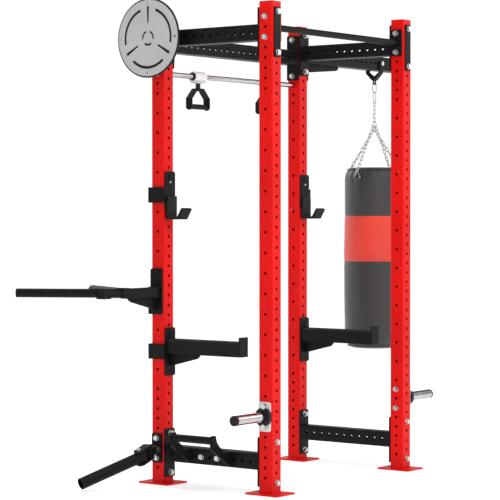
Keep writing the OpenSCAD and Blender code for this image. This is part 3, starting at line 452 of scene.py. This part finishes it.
# a raised welt where the end discs are sewn to the side of the bag
WELT_R, WELT_FROM_END, WELT_IN = 0.0030, 0.013, 0.016
welts = []
for height in (TOP - WELT_FROM_END, BASE + WELT_FROM_END):
    ring = [about_bag(turn, RADIUS - WELT_IN + swell(turn, height) * 0.9, height + 0.0006 * math.sin(9 * turn))
            for turn in BAG_TURNS]
    welts.append(wire(ring, WELT_R, closed=True, sides=10))
piece("bag_welts", *join(welts), "black_leather", "bag")

# two rows of stitches, a lapped seam down the back of the bag, left out where the panel covers them
SEAM_TURN, SEAM_HALF = math.radians(52), 0.016
SEAM_ROWS = 150
SEAM_END = 0.06
seam_stitches = []
for turn in (SEAM_TURN - SEAM_HALF, SEAM_TURN + SEAM_HALF):
    outward = Vector((math.cos(turn), math.sin(turn), 0))
    for k in range(SEAM_ROWS):
        height = BASE + SEAM_END + (TOP - BASE - 2 * SEAM_END) * k / (SEAM_ROWS - 1)
        if not band_low.z - 0.004 < height < band_high.z + 0.004:
            seam_stitches.append(stitch(AXIS + outward * (skin(turn, height) + 0.0003) + UP * height, UP, outward))
piece("bag_seam_stitching", *join(seam_stitches), "black_leather", "bag", THREAD_DARK)


# ---------- rings, tabs and hooks ----------

def rounded_path(corners, radius, steps=6):
    """A closed path through flat corners, each turned with the given radius."""
    path = []
    count = len(corners)
    for i in range(count):
        here, before, after = corners[i], corners[i - 1], corners[(i + 1) % count]
        a = (before - here).normalized()
        b = (after - here).normalized()
        half = a.angle(b) / 2
        reach = radius / math.tan(half)
        centre = here + (a + b).normalized() * (radius / math.sin(half))
        first, last = here + a * reach - centre, here + b * reach - centre
        for k in range(steps + 1):
            t = k / steps
            path.append(centre + (first * (1 - t) + last * t).normalized() * radius)
    return path


ring_low, ring_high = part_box("bag_rings")
ring_z_high, ring_z_low = ring_high.z - 0.006, ring_low.z + 0.003
BAR_R = ring_high.x - AXIS.x - 0.0025       # the ring's bottom bar stands this far from the bag's axis
APEX_R = RADIUS + 0.0035
RING_WIRE, RING_BEND, BAR_HALF = 0.0026, 0.004, 0.024
TAB_HALF, TAB_THICK = 0.019, 0.0011
TAB_LOW = ring_z_low - 0.135
TAB_LOOP = 0.0046                           # radius of the tab's turn over the bar
TAB_SIDES = 6
TAB_SECTION = ((-TAB_HALF, -TAB_THICK), (-TAB_HALF, TAB_THICK), (-TAB_HALF * 0.5, TAB_THICK * 1.4),
               (TAB_HALF * 0.5, TAB_THICK * 1.4), (TAB_HALF, TAB_THICK), (TAB_HALF, -TAB_THICK))


def tab_path(turn):
    """(radius, height) along a leather tab: up the bag, over the bar and down again outside."""
    path = []
    for k in range(15):
        height = TAB_LOW + (ring_z_low - 0.010 - TAB_LOW) * k / 14
        path.append((skin(turn, height) + 0.0012, height))
    for k in range(9):
        angle = math.pi - math.pi * 1.06 * k / 8
        path.append((BAR_R + TAB_LOOP * math.cos(angle), ring_z_low + TAB_LOOP * math.sin(angle)))
    for k in range(9):
        height = ring_z_low - 0.012 - 0.048 * k / 8
        path.append((skin(turn, height) + 0.0052, height))
    return path


def tab(path, at):
    """A strip of leather along a path, with pressed edges."""
    points = []
    for i, (r, height) in enumerate(path):
        before, after = path[max(i - 1, 0)], path[min(i + 1, len(path) - 1)]
        way = Vector((after[0] - before[0], after[1] - before[1])).normalized()
        out = Vector((-way.y, way.x))
        for across, lift in TAB_SECTION:
            curve = 0.0 if abs(across) < TAB_HALF else -0.0009
            points.append(at(r + out.x * lift + curve, across, height + out.y * lift))
    return points, loop_faces(len(path), TAB_SIDES)


def tab_sewing(at, along, outward):
    """Three rows of stitches across a tab and one up each edge of its lower half."""
    made = []
    for k in range(9):
        across = -0.014 + 0.0035 * k
        for height, out in ((TAB_LOW + 0.006, 0.0030), (ring_z_low - 0.020, 0.0068), (ring_z_low - 0.054, 0.0068)):
            made.append(stitch(at(RADIUS + 0.0008 + out, across, height), along, outward, 0.003))
    for k in range(12):
        height = TAB_LOW + 0.010 + 0.005 * k
        for across in (-0.014, 0.014):
            made.append(stitch(at(RADIUS + 0.0036, across, height), UP, outward))
    return made


ring_parts, tab_parts, tab_stitches = [], [], []
for quarter in range(4):
    spin = Matrix.Rotation(math.pi / 2 * quarter, 3, "Z")

    def at(r, across, height):
        return AXIS + spin @ Vector((r, across, height))

    corners = [at(APEX_R, 0, ring_z_high), at(BAR_R, -BAR_HALF, ring_z_low), at(BAR_R, BAR_HALF, ring_z_low)]
    ring_parts.append(wire(rounded_path(corners, RING_BEND), RING_WIRE, closed=True))
    tab_parts.append(tab(tab_path(math.pi / 2 * quarter), at))
    tab_stitches += tab_sewing(at, spin @ Vector((0, 1, 0)), spin @ Vector((1, 0, 0)))
triangle_rings = piece("triangle_rings", *join(ring_parts), "zinc_fasteners", "bag")
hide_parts("bag_rings")
piece("ring_tabs", *join(tab_parts), "black_leather", "bag")
piece("tab_stitching", *join(tab_stitches), "black_leather", "bag", THREAD_DARK)


HOOK_WIRE = 0.0035
HOOK_SLIM = 0.0003      # the visible wire is this much thinner, so the hook clears its neighbours as it turns
HOOK_BEND = 0.0130


def snap_hook(name, cad_node, across_axis):
    """An oval snap hook in the place of its CAD loop, with a sprung gate over one straight side."""
    low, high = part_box(cad_node)
    top, bottom = high.z - HOOK_WIRE - HOOK_BEND, low.z + HOOK_WIRE + HOOK_BEND
    outline = [(HOOK_BEND * math.cos(angle), top + HOOK_BEND * math.sin(angle))
               for angle in (math.pi * k / 12 for k in range(13))]
    outline += [(HOOK_BEND * math.cos(angle), bottom + HOOK_BEND * math.sin(angle))
                for angle in (math.pi + math.pi * k / 18 for k in range(19))]
    path = [AXIS + across_axis * x + Vector((0, 0, z)) for x, z in outline]
    hook = piece(name, *wire(path, HOOK_WIRE - HOOK_SLIM, closed=True, sides=14), "zinc_fasteners", "hooks")
    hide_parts(cad_node)
    side_top = AXIS + across_axis * HOOK_BEND + Vector((0, 0, top))
    side_low = AXIS + across_axis * HOOK_BEND + Vector((0, 0, bottom))
    way = side_top - side_low
    place = Matrix.Translation(side_low + way * 0.12) @ way.to_track_quat("Z", "Y").to_matrix().to_4x4()
    length = way.length * 0.62
    sleeve = [(0.0037, 0.0), (0.0046, 0.0006), (0.0046, length * 0.12), (0.0042, length * 0.14),
              (0.0042, length * 0.55)]
    for k in range(6):
        h = length * (0.58 + 0.06 * k)
        sleeve += [(0.0047, h), (0.0047, h + length * 0.03), (0.0043, h + length * 0.04)]
    sleeve += [(0.0046, length * 0.97), (0.0037, length)]
    pin = wire([side_low + way * 0.1 + way.cross(across_axis).normalized() * s
                for s in (-0.0052, -0.002, 0.002, 0.0052)], 0.0016, sides=10)
    piece(name + "_gate", *join([turned(sleeve, 20, place), pin]), "zinc_fasteners", "hooks")


snap_hook("snap_hook_top", "snap_hook_upper", Vector((0, 1, 0)))
snap_hook("snap_hook_bottom", "snap_hook_lower", Vector((1, 0, 0)))


# ---------- small screws ----------

# (radius, height) of a button head with its socket
SCREW_HEAD = [(0.0064, -0.0006), (0.0064, 0.0008), (0.0060, 0.0018), (0.0048, 0.0029), (0.0032, 0.0034),
              (0.0028, 0.0033), (0.0027, 0.0014), (0.0004, 0.0012)]
CUP_SCREW_Z = (1.533, 1.411)
SPOTTER_SCREW_DOWN, SPOTTER_SCREW_UP = 0.024, 0.022
DIP_SCREW_DOWN, DIP_SCREW_UP = 0.026, 0.024


def screws(name, cad_node, body, upright, heights, way, slot="black_powder_coat"):
    """Button-head screws on an upright's axis, on the first face of the CAD node that a line along `way` meets."""
    low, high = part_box(upright)
    middle = (low + high) / 2
    way = Vector(way)
    facing = (-way).to_track_quat("Z", "Y").to_matrix().to_4x4()
    made = []
    for height in heights:
        hit, where, _, _ = NODES[cad_node].ray_cast(Vector((middle.x, middle.y, height)) - way * 0.5, way)
        if hit:
            made.append(turned(SCREW_HEAD, 18, Matrix.Translation(where) @ facing))
    piece(name, *join(made), slot, body)


for side in ("left", "right"):
    screws("cup_screws_" + side, "jcup_" + side, "cup_" + side, "upright_rear_" + side,
           CUP_SCREW_Z, (0, 1, 0), "zinc_fasteners")
    low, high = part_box("spotter_" + side)
    screws("spotter_screws_" + side, "spotter_" + side, "safety_arm_" + side, "upright_rear_" + side,
           (high.z - SPOTTER_SCREW_DOWN, low.z + SPOTTER_SCREW_UP), (0, 1, 0))
low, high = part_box("dip_bracket")
screws("dip_screws", "dip_bracket", "dip_station", "upright_rear_left",
       (high.z - DIP_SCREW_DOWN, low.z + DIP_SCREW_UP), (1, 0, 0))


# ---------- D-handle grips ----------

GRIP_BORE = 0.0066
RIBS = 17
RIBS_FROM_END = 0.007
RIB_DEEP = 0.0011


def grip_outline(half, outer):
    """(radius, height) of a ribbed rubber grip that swells a little in the middle, with a flange at each end."""
    shoulder = outer - 0.0016
    outline = [(GRIP_BORE, -half), (outer, -half), (outer, -half + 0.004), (shoulder, -half + 0.005)]
    ribbed = 2 * half - 2 * RIBS_FROM_END
    pitch = ribbed / RIBS
    for k in range(RIBS):
        start = -half + RIBS_FROM_END + ribbed * k / RIBS
        swollen = outer - 0.0014 + 0.0012 * math.cos(math.pi * (k + 0.5 - RIBS / 2) / RIBS)
        outline += [(swollen - RIB_DEEP, start), (swollen, start + pitch * 0.2), (swollen, start + pitch * 0.7),
                    (swollen - RIB_DEEP, start + pitch * 0.88)]
    return outline + [(shoulder, half - 0.005), (outer, half - 0.004), (outer, half), (GRIP_BORE, half)]


for side in ("left", "right"):
    low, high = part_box("handle_grip_" + side)
    place = Matrix.Translation((low + high) / 2) @ Matrix.Rotation(math.pi / 2, 4, "Y")
    outline = grip_outline((high.x - low.x) / 2, (high.z - low.z) / 2)
    grip = piece("grip_" + side, *turned(outline, 40, place), "black_rubber", "grip_" + side)
    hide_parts("handle_grip_" + side)


# ---------- stage: lamps, studio, floor and camera ----------

def lamp(name, place, aim, size, power):
    """A round area lamp at a place, aimed at a point."""
    data = bpy.data.lights.new(name, "AREA")
    data.shape = "DISK"
    data.size = size
    data.energy = power
    made = bpy.data.objects.new(name, data)
    made.location = place
    made.rotation_mode = "QUATERNION"
    made.rotation_quaternion = (Vector(aim) - Vector(place)).to_track_quat("-Z", "Y")
    bpy.context.scene.collection.objects.link(made)


KEY_WATTS, SIDE_WATTS, BACK_WATTS = 285, 45, 120
lamp("key", (-3.2, -6.5, 6.5), (0.2, 0.0, 1.0), 3.2, KEY_WATTS)
lamp("side", (5.5, -4.5, 3.8), (0.0, 0.0, 1.2), 3.0, SIDE_WATTS)
lamp("back", (1.5, 6.5, 5.5), (0.0, 0.0, 1.2), 3.5, BACK_WATTS)

world = bpy.data.worlds.new("studio")
bpy.context.scene.world = world
world.use_nodes = True
sky = world.node_tree
facing = node(sky, "ShaderNodeSeparateXYZ", {"Vector": sky.nodes.new("ShaderNodeTexCoord").outputs["Generated"]})
upward = facing.outputs["Z"]
compass = node(sky, "ShaderNodeMath", {0: facing.outputs["Y"], 1: facing.outputs["X"]},
               operation="ARCTAN2").outputs[0]


COMPASS_SOFT, HEIGHT_SOFT = 0.12, 0.05      # how wide the edges of the lit panels fade
OVERHEAD = 1.5


def window(value, low, high, soft):
    """1 between low and high, fading to 0 outside."""
    rise = spread(sky, value, low - soft, low + soft)
    fall = spread(sky, value, high - soft, high + soft, 1.0, 0.0)
    return times(sky, rise, fall)


def soft_box(start, end, low, high, level):
    """A lit panel of the studio, from one compass angle to another in degrees and between two heights."""
    across = window(compass, math.radians(start), math.radians(end), COMPASS_SOFT)
    return times(sky, times(sky, across, window(upward, low, high, HEIGHT_SOFT)), level)


GLOW_LOW, GLOW_HIGH = 1.08, 0.10    # the studio's own glow near the floor and above it
level = spread(sky, upward, 0.16, 0.24, GLOW_LOW, GLOW_HIGH)
for lit in (soft_box(-75, -8, 0.45, 0.75, 1.0), soft_box(-172, -128, 0.35, 0.75, 0.9),
            soft_box(60, 110, 0.18, 0.70, 0.7), times(sky, spread(sky, upward, 0.80, 0.90), OVERHEAD)):
    level = node(sky, "ShaderNodeMath", {0: level, 1: lit}, operation="ADD").outputs[0]
sky.nodes["Background"].inputs["Color"].default_value = (1.0, 1.0, 1.0, 1.0)
sky.links.new(level, sky.nodes["Background"].inputs["Strength"])

FLOOR_REACH = 60.0
FLOOR_DROP = 0.0005
FLOOR_GLOW = 0.42
floor_mesh = bpy.data.meshes.new("floor")
floor_mesh.from_pydata([(x * FLOOR_REACH, y * FLOOR_REACH, 0) for x, y in ((-1, -1), (1, -1), (1, 1), (-1, 1))],
                       [], [(0, 1, 2, 3)])
floor = bpy.data.objects.new("floor", floor_mesh)
floor.location.z = -FLOOR_DROP
bpy.context.scene.collection.objects.link(floor)
floor_mat, floor_tree, floor_bsdf, floor_place = shader("floor", 0.55, specular=0.2)
floor_shade = blend_colour(floor_tree, noise_field(floor_tree, floor_place, 0.8),
                           (0.93, 0.93, 0.93, 1), (0.95, 0.95, 0.95, 1))
floor_tree.links.new(floor_shade, floor_bsdf.inputs["Base Color"])
floor_bsdf.inputs["Emission Color"].default_value = (1.0, 1.0, 1.0, 1.0)
floor_bsdf.inputs["Emission Strength"].default_value = FLOOR_GLOW
floor_mesh.materials.append(floor_mat)
floor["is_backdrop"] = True

# fitted to the hole grid in the photograph; degrees, metres, and millimetres for the lens and its sensor
CAMERA_PLACE = (-8.4903, -6.1845, 1.3881)
CAMERA_DOWN, CAMERA_TURN = 1.146, -53.01
LENS, SENSOR = 141.4, 36.0
camera_data = bpy.data.cameras.new("camera")
camera_data.sensor_width = SENSOR
camera_data.lens = LENS
camera_data.clip_start, camera_data.clip_end = 0.1, 200.0
camera = bpy.data.objects.new("camera", camera_data)
camera.location = CAMERA_PLACE
camera.rotation_euler = (math.radians(90 - CAMERA_DOWN), 0.0, math.radians(CAMERA_TURN))
bpy.context.scene.collection.objects.link(camera)
bpy.context.scene.camera = camera
bpy.context.scene.view_settings.view_transform = "Standard"

low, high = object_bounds()
